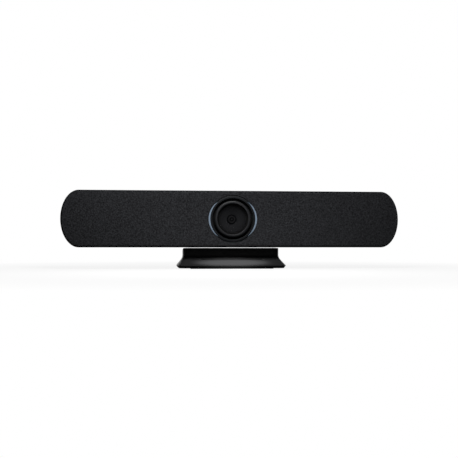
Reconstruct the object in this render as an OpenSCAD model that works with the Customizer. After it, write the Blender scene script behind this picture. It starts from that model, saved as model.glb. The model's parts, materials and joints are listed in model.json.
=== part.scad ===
// Conference camera: a slim fabric-fronted bar with a central lens, on a flared table stand.
// Millimetres. Z is up, the lens looks along -Y, and the stand rests on the plane Z = 0.
// Pieces of the bar are drawn in the bar's own frame: x across, y up from its centre line,
// z the depth behind the fabric face. in_bar() stands that frame upright on the stand.

/* [Bar] */
// Width of the bar over its rounded ends
bar_w = 480; // [476:1:560]
// Height of the bar
bar_h = 80; // [79:0.5:90]
// Depth of the bar, from fabric face to back
bar_depth = 66; // [65:0.5:80]
// Width of each elliptical end
end_w = 25.5; // [24:0.5:30]
// Radius of the housing's back edge
back_round = 16; // [12:0.5:17]
// Wall of the rear housing
wall = 2.4; // [2.2:0.1:3]

/* [Front] */
// Width of the gloss bezel round the fabric
bezel_w = 2; // [1.5:0.1:3]
// How far the bezel's front edge lies behind the fabric face
bezel_set = 2.6; // [1.5:0.1:3.5]
// Depth of the seam between bezel and rear housing
seam_depth = 9; // [8.5:0.1:10]
// Thickness of the fabric skin
fabric_t = 0.8; // [0.5:0.1:1.2]
// Radius of the fabric's front edge
fabric_round = 3.4; // [2.4:0.1:4]
// Thickness of the perforated grille plate
grille_t = 2; // [1.5:0.1:2.4]
// Thickness of the inner mounting frame
frame_t = 2; // [1.5:0.1:3]

/* [Lens] */
// Radius of the round opening in the fabric
lens_hole_r = 33.4; // [33.2:0.1:34]
// Outer radius of the ring round the lens
ring_r = 32.9; // [32.4:0.1:33]
// Inner radius of that ring, the outer wall of the dark groove
groove_r = 29.1; // [28.8:0.1:29.6]
// Outer radius of the lens hood
hood_r = 26; // [24:0.1:27]
// Radius of the hood's throat, at the window
throat_r = 21.3; // [21:0.1:22]
// Depth of the window's outer face
window_depth = 5.6; // [4:0.1:6]
// Thickness of the window
window_t = 1.5; // [1:0.1:1.8]
// Radius of the lens barrel
barrel_r = 6.9; // [5.5:0.1:8]
// Radius of the front lens
front_lens_r = 4.2; // [3:0.1:4.8]
// Inner radius of the light guides
guide_r = 32; // [31.6:0.1:32.4]
// Widest part of each light guide
guide_w = 2.6; // [1.5:0.1:3]
// Half angle that each light guide covers
guide_angle = 49.5; // [30:0.5:60]

/* [Speakers] */
// Distance of each speaker box from the end of the bar
box_end_gap = 51; // [50:1:56]
// Radius of the driver's frame
driver_r = 29; // [25:0.5:30]
// Height of each speaker box
box_h = 62; // [60:1:64]
// Gap between each speaker box and the back of the bar
box_back_gap = 10; // [9:0.5:14]

/* [Ports] */
// Width of the port recess in the back
recess_w = 126; // [122:1:132]
// Height of the port recess
recess_h = 24; // [22:0.5:26]
// Depth of the port recess
recess_depth = 6; // [4.5:0.1:7]
// Height of the port row below the bar's centre line
port_drop = 14; // [12:0.5:15]
// Radius of the power button
power_r = 3; // [2:0.1:3.4]
// Radius of the pairing button
pairing_r = 2.2; // [1.5:0.1:3]
// Travel of the buttons
button_travel = 0.8; // [0.4:0.1:1]

/* [Hinge] */
// Height of the tilt axis above the table
axis_z = 24; // [23:0.1:24.5]
// Radius of the hinge pins
pin_r = 2; // [1.5:0.1:2.4]
// Radius of the hinge knuckles
knuckle_r = 3.6; // [3.2:0.1:3.8]
// Distance of each hinge from the side of the neck
hinge_side_gap = 26.7; // [22:0.1:30]
// Thickness of the hinge plates
plate_t = 1.5; // [1.2:0.1:1.6]

/* [Stand] */
// Width of the neck
neck_w = 138.4; // [132:0.2:144]
// Depth of the neck
neck_depth = 22; // [21:0.5:26]
// Distance of the neck's front wall behind the fabric face
neck_set = 22; // [21:0.5:24]
// Height of the neck's front wall above the table
neck_top = 29.45; // [29.2:0.05:29.6]
// Height of the neck's back wall above the table
neck_back_top = 24.8; // [23:0.1:25]
// Gap between the neck and the bar
bar_gap = 0.9; // [0.8:0.05:1.2]
// How far the foot reaches out in front of the neck
front_flare = 20; // [14:0.5:20]
// How far the foot reaches out behind the neck
back_flare = 20; // [12:0.5:20]
// How far the foot reaches out at each side of the neck
side_flare = 8.4; // [8:0.1:14]
// Height of the foot's thin lip
lip_top = 4.6; // [4.5:0.1:5.5]
// How far the lip is drawn in at its bottom edge
lip_under = 2.6; // [2:0.1:3]
// Height where the sloped apron meets the neck
apron_top = 15.9; // [15:0.1:17]
// Radius of the foot's plan corners
foot_corner = 12; // [10:1:24]
// Wall of the stand
stand_wall = 2; // [1.8:0.1:2.2]
// Height of the rubber pads
pad_h = 1.2; // [0.8:0.1:1.4]
// Thickness of the steel base plate
ballast_t = 3.2; // [2.8:0.1:3.2]

/* [Hidden] */
$fn = 96;

// Overrun of every cut past the face that it opens
over = 1;
// Gap round a piece that drops into its seat
fit = 0.15;
// Radius gap of a pin that turns in its hole
running = 0.05;

// Places of the whole bar
foot_front = neck_set - front_flare;
foot_back = neck_set + neck_depth + back_flare;
overall_depth = max(bar_depth, foot_back);
front_y = -overall_depth / 2;
bar_bottom = neck_top + bar_gap;
bar_z = bar_bottom + bar_h / 2;
panel_t = 1.6;
panel_back = bar_depth - recess_depth;
panel_front = panel_back - panel_t;

// Places of the front pieces, as depths behind the fabric face
skin_inset = bezel_w + fit;
frame_inset = skin_inset + fabric_t + fit;
plate_back = fabric_t + grille_t;
grille_back = seam_depth - frame_t;
rim_t = 1.6;
ledge_w = 4;
bezel_step = 0.6;
tongue_t = 1.6;
tongue_depth = 3;
frame_front = seam_depth + tongue_depth;
frame_back = frame_front + frame_t;
end_hole_gap = 28;
end_hole_x = bar_w / 2 - end_hole_gap;
end_hole_r = 12;
slot_w = 2.4;
slot_pitch = 4.4;
slot_margin = 5;
slot_reach = driver_r - slot_margin;

// Depth from the front frame's face to the port panel, and the shares of it that parts take
inner_depth = panel_back - frame_front;
holder_share = 0.25;
post_share = 0.125;
board_share = 2 / 3;

// The camera's stack of depths
led_board_t = 1.2;
led_h = 1;
holder_flange_t = 2.8;
holder_front = frame_front - holder_flange_t;
led_board_front = holder_front - led_board_t;
led_front = led_board_front - led_h;
guide_front = 0.3;
ring_front = 0.6;
ring_slope = 1.1;
hood_lip = 0.9;
hood_steps = 3;
hood_base_t = 2.2;
seat_in = 0.4;
window_lap = 1.4;
window_seat_r = throat_r - seat_in;
window_r = window_seat_r - seat_in;
window_back = window_depth + window_t;
ledge_r = window_r - window_lap;
holder_flange_r = 33.8;
tube_r = 24.4;
tube_wall = 2.3;
holder_depth = inner_depth * holder_share;
holder_back_t = 3;
holder_back = frame_front + holder_depth + holder_back_t;
post_r = 2.6;
sensor_post_at = 13;
sensor_post_h = inner_depth * post_share;
sensor_board_w = 34;
sensor_board_t = 1.2;
sensor_front = holder_back + sensor_post_h;
chip_w = 9.6;
chip_h = 7.6;
chip_t = 1.2;
filter_t = 0.5;
baffle_t = 1;
baffle_reach = 5;
baffle_gap = 0.3;
barrel_rise = 1.5;
filter_gap = 0.5;
baffle_end = frame_front + baffle_reach;
baffle_throat = barrel_r + baffle_gap;
barrel_front = baffle_end - barrel_rise;
barrel_back = sensor_front - chip_t - filter_t - filter_gap;
barrel_bore = 3.4;
lens_seat_t = 1.6;
lens_rise = 1;
lens_edge_t = 1.2;
inner_lens_t = 2;

// Points down the funnel of the hood: a flat tread, then a slope, for each step
hood_fall = window_depth - hood_lip;
hood_reach = hood_r - hood_lip - throat_r;
hood_tread_share = 0.4;
hood_funnel = [
    for (k = [0 : hood_steps - 1], along_share = [0, hood_tread_share])
        [hood_r - hood_lip - hood_reach * (k + along_share) / hood_steps,
         hood_lip + hood_fall * k / hood_steps]
];

// The crescent of light: an outer circle through the tips of the inner one
guide_tip = [guide_r * cos(guide_angle), guide_r * sin(guide_angle)];
guide_sagitta = guide_r + guide_w - guide_tip[0];
guide_outer_r = (guide_tip[1] * guide_tip[1] + guide_sagitta * guide_sagitta) / (2 * guide_sagitta);
guide_outer_x = guide_r + guide_w - guide_outer_r;

// The ribbon between the camera and the main board
flex_w = 12;
flex_t = 0.3;
flex_plug_t = 1.2;
flex_plug_h = 4;
flex_drop = 8;

// The speakers, between the port recess and the end of the bar
box_recess_gap = 8;
box_in = recess_w / 2 + box_recess_gap;
box_out = bar_w / 2 - box_end_gap;
box_w = box_out - box_in;
speaker_x = (box_in + box_out) / 2;
box_depth = bar_depth - box_back_gap - frame_back;
box_wall = 2;
flange_t = 1.6;
flange_front = frame_front - flange_t;
flange_w = 4;
basket_depth = 12;
basket_set = 3;
basket_back = frame_back + basket_depth;
basket_r = driver_r - basket_set;
magnet_r = 19;
magnet_t = 12;
basket_floor_t = 1.5;
surround_w = 5;
cone_r = driver_r - flange_w - surround_w;
coil_r = 8;
coil_gap = 1;
plate_gap = 2;
pole_set = 3;
cap_dip = 2;
cap_edge_dip = 1.6;
coil_wall = 0.6;
cone_t = 0.6;
cone_front = flange_front;
cone_depth = 8;
surround_t = 0.6;
lip_w = 1.5;
basket_windows = 6;

// The microphones
mic_drop = 10.5;
mic_v = bar_h / 2 - mic_drop;
mic_shares = [-0.4915, -0.1864, 0.1864, 0.4915];
mic_places = [for (side = [-1, 1], share = mic_shares) side * (speaker_x + share * box_w)];
mic_hole_r = 0.7;
gasket_r = 2.2;
gasket_h = 3;
mic_board_lap = 7;
mic_board_w = box_w + 2 * mic_board_lap;
mic_board_h = 6;
mic_board_t = 1;
mic_size = [3.6, 2.8, 1];
antenna_size = [38, 0.8, 9];
antenna_set = 20;
antenna_x = speaker_x + antenna_set;
antenna_depth = 24;

// Boards and cooling
board_recess_lap = 5;
board_w = recess_w - 2 * board_recess_lap;
board_h = 62;
board_t = 1.6;
board_margin = 5;
board_front = frame_front + inner_depth * board_share;
board_back = board_front + board_t;
board_post = [board_w / 2 - board_margin, board_h / 2 - board_margin];
soc_w = 20;
soc_t = 1.6;
soc_v = 15;
pad_t = 1;
sink_side_gap = 16;
sink_w = board_w - 2 * sink_side_gap;
sink_h = 24;
sink_base_t = 2.5;
sink_fin_t = 1.4;
sink_fins = 13;
sink_fin_h = 8;
shield_wall = 0.4;
memory_share = 0.1;
memory_size = [board_w * memory_share, 9, 1.2];
memory_in = 5;
memory_x = memory_in + memory_size[0] / 2;
shield_gap = 1.5;
shield_side_gap = 9;
shield_in = memory_in + memory_size[0] + shield_gap;
shield_out = board_w / 2 - shield_side_gap;
shield_size = [shield_out - shield_in, 24, 4];
shield_x = (shield_in + shield_out) / 2;

// The housing's posts and vents
post_recess_gap = 1;
post_end_gap = 40;
post_high = 28;
post_low = 20;
frame_posts = [[recess_w / 2 + post_recess_gap, post_high], [bar_w / 2 - post_end_gap, post_low]];
frame_post_r = 3.4;
screw_r = 1.25;
screw_len = 8;
screw_head_r = 2.6;
screw_head_t = 1.4;
vent_w = 2.4;
vent_h = 15;
vent_pitch = 6;
vent_count = 15;
vent_v = 14;

// Places of ports and buttons along the row, as shares of the recess's width
dc_share = -0.397;
network_share = -0.254;
hdmi_share = -0.087;
usb_c_share = 0.04;
usb_a_share = 0.167;
audio_share = 0.286;
pairing_share = 0.365;
power_share = 0.437;

// Ports
collar_t = 1.6;
panel_rest = 1.5;
port_proud = 0.4;
port_back = panel_back + port_proud;
port_gap = 0.25;
port_wall = 0.5;
port_len = port_back - board_back;
dc_x = recess_w * dc_share;
dc_size = [10, 11];
dc_bore_r = 3.1;
dc_pin_r = 1;
dc_bore_share = 0.64;
dc_bore_len = port_len * dc_bore_share;
dc_wall = 1.2;
network_x = recess_w * network_share;
network_size = [16, 13.4];
network_bore = [12, 7.4];
network_key = [6, 2];
network_rise = 1;
network_bore_share = 0.84;
network_depth = port_len * network_bore_share;
hdmi_x = recess_w * hdmi_share;
hdmi_size = [15, 5.6];
hdmi_tongue = [11.4, 1.2];
hdmi_bore_share = 0.74;
hdmi_depth = port_len * hdmi_bore_share;
usb_c_x = recess_w * usb_c_share;
usb_c_size = [9, 3.4];
usb_c_tongue = [6.7, 0.7];
usb_c_bore_share = 0.45;
usb_c_depth = port_len * usb_c_bore_share;
usb_a_x = recess_w * usb_a_share;
usb_a_size = [14.4, 7];
usb_a_tongue = [11.2, 2];
usb_a_bore_share = 0.81;
usb_a_depth = port_len * usb_a_bore_share;
audio_x = recess_w * audio_share;
audio_size = [6.6, 6.6];
audio_bore_r = 1.8;
audio_bore_share = 0.81;
audio_bore_len = port_len * audio_bore_share;
pairing_x = recess_w * pairing_share;
power_x = recess_w * power_share;
button_proud = 1;
button_collar = 0.9;
button_collar_t = 0.8;
stem_r = 1.4;
switch_size = [6, 6, 3.4];
plunger_r = 1.6;
plunger_h = 1;

// The hinge
hinge_x = neck_w / 2 - hinge_side_gap;
axis_depth = neck_set + stand_wall + fit * 2 + knuckle_r;
axis_v = axis_z - bar_z;
web_gap = 2;
web_w = neck_w - 2 * stand_wall - 2 * web_gap;
flange_back = bar_depth - back_round;
web_lift = 0.4;
knuckle_w = 15.6;
washer_t = 0.4;
washer_set = 0.2;
washer_r = knuckle_r - washer_set;
ear_t = 2;
ear_in = knuckle_w / 2 + washer_t;
clevis_foot_depth = 15;
clevis_screw_x = 5;
clevis_screw_depth = axis_depth + 6;
pin_head_r = 3.2;
pin_head_t = 1.2;
mount_plate_t = 2;
bracket_screw_in = 22;
bracket_screw_out = 16;
bracket_screw_x = [hinge_x - bracket_screw_in, hinge_x + bracket_screw_out];
bracket_screw_r = 1.5;
bracket_head_r = 2.8;
bracket_head_t = 0.9;
bracket_screw_depth = (axis_depth + plate_t / 2 + flange_back) / 2;

// The stand
shell_drop = 0.4;
shell_bottom = pad_h - shell_drop;
thin = 0.02;
cavity_share = 0.1;
blend_rise = 4;
blend_steps = 4;
neck_corner = 6;
ballast_top = pad_h + ballast_t;
shell_boss_r = 3.2;
shell_boss_z = 18;
shell_boss_bite = 0.6;
shell_boss_in = stand_wall + shell_boss_r - shell_boss_bite;
foot_screw_r = 1.4;
foot_head_r = 2.6;
foot_head_t = 1.2;
foot_screw_len = 5.4;
ledge_line_w = 94;
ledge_line_t = 0.6;
ledge_line_z = 13.2;
insert_r = 4.6;
insert_flange_r = 6.4;
insert_flange_t = 1.2;
insert_h = 9.8;
thread_r = 2.55;
thread_len = 8.8;
rubber_pad_w = 118;
rubber_pad_depth = 8;
pad_in = 10;

// Where the concave blend starts on the apron, as a share of the whole flare
blend_share = 0.26;
blend_low = apron_top - (apron_top - lip_top) * blend_share;
blend_high = apron_top + blend_rise;

// Height and flare share of each level of the blend, on a curve tangent to apron and neck
blend_levels = [
    for (k = [0 : blend_steps])
        let (t = k / blend_steps)
        [blend_low * (1 - t) * (1 - t) + apron_top * 2 * t * (1 - t) + blend_high * t * t,
         blend_share * (1 - t) * (1 - t)]
];

// Frames and outlines

// Stands the bar's frame upright: x across, y up, z back
module in_bar() {
    translate([0, front_y, bar_z]) rotate([90, 0, 0]) mirror([0, 0, 1]) children();
}

// Stands a piece of the stand by its depth behind the fabric face
module in_stand() {
    translate([0, front_y, 0]) children();
}

module both_sides() {
    children();
    mirror([1, 0, 0]) children();
}

// Outline of the bar, drawn in by an inset: straight edges and elliptical ends
module pill(inset = 0) {
    half_h = bar_h / 2 - inset;
    square([bar_w - 2 * end_w, 2 * half_h], center = true);
    for (side = [-1, 1])
        translate([side * (bar_w / 2 - end_w), 0])
            scale([(end_w - inset) / half_h, 1]) circle(half_h);
}

// Side view from an axis outwards: reach across, depth up, with rounded front and back edges
module half_side(reach, near, far, near_r, far_r) {
    translate([0, near + near_r]) square([reach, far - near - near_r - far_r]);
    if (near_r > 0) {
        translate([0, near]) square([reach - near_r, 2 * near_r]);
        translate([reach - near_r, near + near_r]) circle(near_r);
    }
    if (far_r > 0) {
        translate([0, far - 2 * far_r]) square([reach - far_r, 2 * far_r]);
        translate([reach - far_r, far - far_r]) circle(far_r);
    }
}

// Solid bar between two depths, with its front and back edges rounded
module bar_solid(inset, near, far, near_r = 0, far_r = 0) {
    half_h = bar_h / 2 - inset;
    rotate([90, 0, 90]) linear_extrude(bar_w - 2 * end_w, center = true) {
        half_side(half_h, near, far, near_r, far_r);
        mirror([1, 0]) half_side(half_h, near, far, near_r, far_r);
    }
    for (side = [-1, 1])
        translate([side * (bar_w / 2 - end_w), 0, 0])
            scale([(end_w - inset) / half_h, 1, 1])
                rotate([0, 0, -side * 90])
                    rotate_extrude(angle = 180) half_side(half_h, near, far, near_r, far_r);
}

// A slab of an outline between two depths
module slab(near, far) {
    translate([0, 0, near]) linear_extrude(far - near) children();
}

module disc(r, near, far) {
    translate([0, 0, near]) cylinder(h = far - near, r = r);
}

module block(size, near, far) {
    slab(near, far) square(size, center = true);
}

module crescent(grow = 0) {
    difference() {
        translate([guide_outer_x, 0]) circle(guide_outer_r + grow);
        circle(guide_r - grow);
    }
}

module lens_opening() {
    circle(lens_hole_r);
    both_sides() crescent(fit);
}

// The bar's shell and front

module rear_housing() {
    color([0.09, 0.09, 0.1]) in_bar() {
        difference() {
            union() {
                difference() {
                    bar_solid(0, seam_depth, bar_depth, 0, back_round);
                    bar_solid(wall, seam_depth - over, bar_depth - wall, 0, back_round - wall);
                }
                frame_post_ring();
                board_posts();
                port_collar();
            }
            housing_vents();
            translate([0, -port_drop]) block([recess_w, recess_h], panel_front, bar_depth + over);
            translate([0, -port_drop])
                block([recess_w - 2 * panel_rest, recess_h - 2 * panel_rest],
                    panel_front - collar_t - over, panel_front + over);
            bracket_recess();
            screw_holes();
        }
    }
}

module frame_post_ring() {
    for (side = [-1, 1], up = [-1, 1], at = frame_posts)
        translate([side * at[0], up * at[1]]) disc(frame_post_r, frame_back, bar_depth - wall);
}

module board_posts() {
    for (side = [-1, 1], up = [-1, 1])
        translate([side * board_post[0], up * board_post[1]])
            disc(post_r, board_back, bar_depth - wall);
}

module port_collar() {
    translate([0, -port_drop])
        block([recess_w + 2 * collar_t, recess_h + 2 * collar_t],
            panel_front - collar_t, bar_depth - wall);
}

module housing_vents() {
    for (k = [0 : vent_count - 1])
        translate([(k - (vent_count - 1) / 2) * vent_pitch, vent_v])
            block([vent_w, vent_h], bar_depth - wall - over, bar_depth + over);
}

module bracket_recess() {
    translate([0, -bar_h / 2 + plate_t / 2 - over / 2])
        block([web_w + 2 * fit, plate_t + over], axis_depth - plate_t / 2 - fit, flange_back + fit);
    for (side = [-1, 1], x = bracket_screw_x)
        translate([side * x, -bar_h / 2 + wall / 2, bracket_screw_depth]) rotate([90, 0, 0])
            cylinder(h = wall + 2 * over, r = bracket_screw_r + fit, center = true);
}

module screw_holes() {
    for (side = [-1, 1], up = [-1, 1], at = frame_posts)
        translate([side * at[0], up * at[1]]) disc(screw_r, frame_back - over, frame_back + screw_len);
    for (side = [-1, 1], up = [-1, 1])
        translate([side * board_post[0], up * board_post[1]])
            disc(screw_r, board_back - over, board_back + screw_len);
}

module front_bezel() {
    color([0.04, 0.04, 0.045]) in_bar() {
        slab(bezel_set, seam_depth) difference() {
            pill(bezel_step);
            pill(bezel_w);
        }
        slab(bezel_set + bezel_step, seam_depth) difference() {
            pill();
            pill(bezel_w);
        }
        slab(grille_back, seam_depth) difference() {
            pill();
            pill(bezel_w + ledge_w);
        }
        slab(seam_depth, frame_front) difference() {
            pill(wall + fit);
            pill(wall + fit + tongue_t);
        }
    }
}

module grille_frame() {
    color([0.12, 0.12, 0.13]) in_bar() {
        difference() {
            bar_solid(frame_inset, fabric_t, grille_back, fabric_round - fabric_t, 0);
            slab(plate_back, grille_back + over) pill(frame_inset + rim_t);
            slab(fabric_t - over, plate_back + over) lens_opening();
            for (side = [-1, 1]) translate([side * speaker_x, 0]) grille_slots();
            for (x = mic_places)
                translate([x, mic_v]) disc(mic_hole_r, fabric_t - over, plate_back + over);
        }
    }
}

// Upright slots over a driver, as long as its round opening allows
module grille_slots() {
    count = floor(slot_reach / slot_pitch);
    slab(fabric_t - over, plate_back + over)
        for (k = [-count : count])
            translate([k * slot_pitch, 0])
                square([slot_w, 2 * sqrt(slot_reach * slot_reach - pow(k * slot_pitch, 2)) + slot_w],
                    center = true);
}

module grille_fabric() {
    color([0.15, 0.15, 0.16]) in_bar() {
        difference() {
            bar_solid(skin_inset, 0, grille_back, fabric_round, 0);
            bar_solid(skin_inset + fabric_t, fabric_t, grille_back + over,
                fabric_round - fabric_t, 0);
            slab(-over, plate_back) lens_opening();
        }
    }
}

module mid_frame() {
    color([0.62, 0.63, 0.65]) in_bar() {
        slab(frame_front, frame_back) difference() {
            pill(wall + 2 * fit);
            circle(tube_r + fit);
            for (side = [-1, 1]) translate([side * speaker_x, 0]) circle(basket_r + fit);
            for (side = [-1, 1], up = [-1, 1], at = frame_posts)
                translate([side * at[0], up * at[1]]) circle(screw_r + fit);
            for (side = [-1, 1]) translate([side * end_hole_x, 0]) circle(end_hole_r);
        }
    }
}

// The camera

module lens_bezel_ring() {
    color([0.07, 0.08, 0.09]) in_bar() {
        difference() {
            rotate_extrude() polygon([
                [groove_r, ring_front + ring_slope],
                [groove_r + ring_slope, ring_front + ring_slope / 2],
                [ring_r - ring_slope / 2, ring_front],
                [ring_r, ring_front + ring_slope / 2],
                [ring_r, led_board_front],
                [groove_r, led_board_front]
            ]);
            slab(ring_front - over, led_board_front + over) both_sides() crescent(fit);
        }
    }
}

module lens_hood() {
    color([0.1, 0.1, 0.11]) in_bar() {
        rotate_extrude() difference() {
            polygon(concat(
                [[hood_r, hood_lip / 2], [hood_r - hood_lip / 2, 0]],
                hood_funnel,
                [[throat_r, window_depth], [ledge_r, window_depth], [ledge_r, holder_front],
                 [groove_r - 2 * fit, holder_front], [groove_r - 2 * fit, holder_front - hood_base_t],
                 [hood_r, holder_front - hood_base_t]]));
            translate([0, window_depth - over]) square([window_seat_r, window_t + over]);
        }
    }
}

module lens_window() {
    color([0.3, 0.32, 0.34, 0.4]) in_bar() disc(window_r, window_depth, window_back);
}

module light_guide() {
    slab(guide_front, led_front) crescent();
}

module light_guide_right() {
    color([0.45, 0.52, 0.6]) in_bar() light_guide();
}

module light_guide_left() {
    color([0.45, 0.52, 0.6]) in_bar() mirror([1, 0, 0]) light_guide();
}

module led_board() {
    color([0.1, 0.25, 0.14]) in_bar() {
        slab(led_board_front, holder_front) difference() {
            circle(holder_flange_r);
            circle(groove_r - fit);
        }
        for (side = [-1, 1], k = [-2 : 2])
            rotate([0, 0, 90 - side * 90 + k * guide_angle / 3])
                translate([guide_r + guide_w / 4, 0])
                    block([guide_w / 2, guide_w / 2], led_front, led_board_front);
    }
}

module camera_holder() {
    color([0.13, 0.13, 0.14]) in_bar() {
        difference() {
            union() {
                disc(holder_flange_r, holder_front, frame_front);
                disc(tube_r, holder_front, holder_back);
                for (side = [-1, 1], up = [-1, 1])
                    translate([side * sensor_post_at, up * sensor_post_at])
                        disc(post_r, holder_back - over, sensor_front);
            }
            disc(tube_r - tube_wall, holder_front - over, holder_back - holder_back_t);
            disc(barrel_r + running, holder_front - over, holder_back + over);
            for (side = [-1, 1], up = [-1, 1])
                translate([side * sensor_post_at, up * sensor_post_at])
                    disc(screw_r, sensor_front - sensor_post_h, sensor_front + over);
        }
    }
}

// A cone that hides the inside of the module behind the window
module lens_baffle() {
    color([0.11, 0.11, 0.12]) in_bar() {
        flange = tube_r - tube_wall - fit;
        rotate_extrude() polygon([
            [flange, holder_front], [flange, holder_front + baffle_t],
            [ledge_r, holder_front + baffle_t], [baffle_throat + baffle_t, baffle_end],
            [baffle_throat, baffle_end], [baffle_throat, baffle_end - baffle_t],
            [ledge_r - baffle_t, holder_front]
        ]);
    }
}

module lens_barrel() {
    color([0.06, 0.06, 0.07]) in_bar() {
        difference() {
            disc(barrel_r, barrel_front, barrel_back);
            disc(barrel_bore, barrel_front - over, barrel_back + over);
            disc(front_lens_r + fit, barrel_front - over, barrel_front + lens_seat_t);
        }
    }
}

// A round lens: a cylinder with one domed face towards the front
module dome_lens(r, front, edge_t, rise) {
    sphere_r = (r * r + rise * rise) / (2 * rise);
    intersection() {
        disc(r, front - rise, front + edge_t);
        translate([0, 0, front - rise + sphere_r]) sphere(sphere_r);
    }
}

module front_lens() {
    color([0.2, 0.22, 0.25, 0.6]) in_bar()
        dome_lens(front_lens_r, barrel_front + lens_seat_t - lens_edge_t, lens_edge_t, lens_rise);
}

module inner_lenses() {
    color([0.25, 0.28, 0.3, 0.6]) in_bar()
        for (k = [1 : 2])
            dome_lens(barrel_bore - running, barrel_front + k * (barrel_back - barrel_front) / 3,
                inner_lens_t, lens_rise);
}

module filter_glass() {
    color([0.35, 0.45, 0.5, 0.6]) in_bar()
        block([chip_w, chip_h], sensor_front - chip_t - filter_t, sensor_front - chip_t);
}

module image_sensor() {
    color([0.2, 0.2, 0.25]) in_bar() block([chip_w, chip_h], sensor_front - chip_t, sensor_front);
}

module sensor_board() {
    color([0.1, 0.25, 0.14]) in_bar() {
        slab(sensor_front, sensor_front + sensor_board_t) difference() {
            square(sensor_board_w, center = true);
            for (side = [-1, 1], up = [-1, 1])
                translate([side * sensor_post_at, up * sensor_post_at]) circle(screw_r + fit);
        }
    }
}

// A flat ribbon from the sensor board to the main board, with a plug at each end
module camera_flex() {
    near = sensor_front + sensor_board_t;
    color([0.65, 0.42, 0.12]) in_bar() {
        translate([0, -flex_drop]) block([flex_w, flex_plug_h], near, near + flex_plug_t);
        translate([0, -flex_drop])
            block([flex_w, flex_plug_h], board_front - flex_plug_t, board_front);
        translate([0, -flex_drop + flex_plug_h / 2])
            block([flex_w - flex_t, flex_t], near, board_front);
    }
}

// The speakers

module speaker_box() {
    translate([speaker_x, 0]) {
        difference() {
            block([box_w, box_h], frame_back, frame_back + box_depth);
            block([box_w - 2 * box_wall, box_h - 2 * box_wall],
                frame_back - over, frame_back + box_depth - box_wall);
        }
    }
}

module speaker_basket() {
    translate([speaker_x, 0]) {
        difference() {
            rotate_extrude() polygon([
                [driver_r, flange_front], [driver_r, frame_front],
                [basket_r, frame_front], [basket_r, frame_back],
                [magnet_r, basket_back], [coil_r + plate_gap, basket_back],
                [coil_r + plate_gap, basket_back - basket_floor_t],
                [magnet_r - basket_floor_t, basket_back - basket_floor_t],
                [driver_r - flange_w, frame_back], [driver_r - flange_w, flange_front]
            ]);
            for (k = [0 : basket_windows - 1])
                rotate([0, 0, k * 360 / basket_windows])
                    translate([magnet_r + flange_w / 2, 0])
                        block([driver_r - magnet_r, coil_r], frame_back + over, basket_back - 2 * over);
        }
    }
}

module speaker_magnet() {
    translate([speaker_x, 0]) {
        difference() {
            disc(magnet_r, basket_back, basket_back + magnet_t);
            disc(coil_r + coil_gap, basket_back - over, basket_back + magnet_t - pole_set);
        }
        disc(coil_r - coil_gap, basket_back, basket_back + magnet_t - pole_set + coil_gap);
    }
}

// Cone, dust cap and coil former, turned in one piece
module speaker_cone() {
    cap = cone_front + cone_depth;
    former_back = basket_back + magnet_t / 2;
    translate([speaker_x, 0])
        rotate_extrude() polygon([
            [cone_r, cone_front], [cone_r, cone_front + cone_t],
            [cone_r - lip_w, cone_front + cone_t], [coil_r, cap + cone_t],
            [coil_r, former_back], [coil_r - coil_wall, former_back],
            [coil_r - coil_wall, cap], [coil_r / 2, cap - cap_edge_dip], [0, cap - cap_dip],
            [0, cap - cap_dip - cone_t], [coil_r / 2, cap - cap_edge_dip - cone_t],
            [coil_r, cap - cone_t], [cone_r - lip_w, cone_front]
        ]);
}

// Rubber half-roll between the cone's rim and the basket's flange
module speaker_surround() {
    mid = cone_r + surround_w / 2;
    roll = surround_w / 2;
    translate([speaker_x, 0])
        rotate_extrude() {
            difference() {
                translate([mid, cone_front]) circle(roll);
                translate([mid, cone_front]) circle(roll - surround_t);
                translate([cone_r - over, cone_front]) square([surround_w + 2 * over, roll + over]);
            }
            translate([cone_r - lip_w, cone_front - surround_t])
                square([lip_w + surround_t, surround_t]);
            translate([cone_r + surround_w - surround_t, cone_front - surround_t])
                square([lip_w + surround_t, surround_t]);
        }
}

module speaker_box_left() {
    color([0.14, 0.14, 0.15]) in_bar() mirror([1, 0, 0]) speaker_box();
}

module speaker_box_right() {
    color([0.14, 0.14, 0.15]) in_bar() speaker_box();
}

module speaker_basket_left() {
    color([0.3, 0.3, 0.31]) in_bar() mirror([1, 0, 0]) speaker_basket();
}

module speaker_basket_right() {
    color([0.3, 0.3, 0.31]) in_bar() speaker_basket();
}

module speaker_magnet_left() {
    color([0.5, 0.5, 0.52]) in_bar() mirror([1, 0, 0]) speaker_magnet();
}

module speaker_magnet_right() {
    color([0.5, 0.5, 0.52]) in_bar() speaker_magnet();
}

module speaker_cone_left() {
    color([0.2, 0.2, 0.2]) in_bar() mirror([1, 0, 0]) speaker_cone();
}

module speaker_cone_right() {
    color([0.2, 0.2, 0.2]) in_bar() speaker_cone();
}

module speaker_surround_left() {
    color([0.08, 0.08, 0.08]) in_bar() mirror([1, 0, 0]) speaker_surround();
}

module speaker_surround_right() {
    color([0.08, 0.08, 0.08]) in_bar() speaker_surround();
}

// Microphones and aerials

module mic_gaskets() {
    color([0.1, 0.1, 0.1]) in_bar()
        for (x = mic_places) translate([x, mic_v]) difference() {
            disc(gasket_r, plate_back, plate_back + gasket_h);
            disc(mic_hole_r, plate_back - over, plate_back + gasket_h + over);
        }
}

module mic_boards() {
    near = plate_back + gasket_h;
    mid = (mic_places[4] + mic_places[7]) / 2;
    color([0.1, 0.25, 0.14]) in_bar()
        for (side = [-1, 1])
            slab(near, near + mic_board_t) difference() {
                translate([side * mid, mic_v]) square([mic_board_w, mic_board_h], center = true);
                for (x = mic_places) translate([x, mic_v]) circle(mic_hole_r);
            }
}

module microphones() {
    near = plate_back + gasket_h + mic_board_t;
    color([0.75, 0.7, 0.45]) in_bar()
        for (x = mic_places)
            translate([x, mic_v]) block([mic_size[0], mic_size[1]], near, near + mic_size[2]);
}

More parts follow.
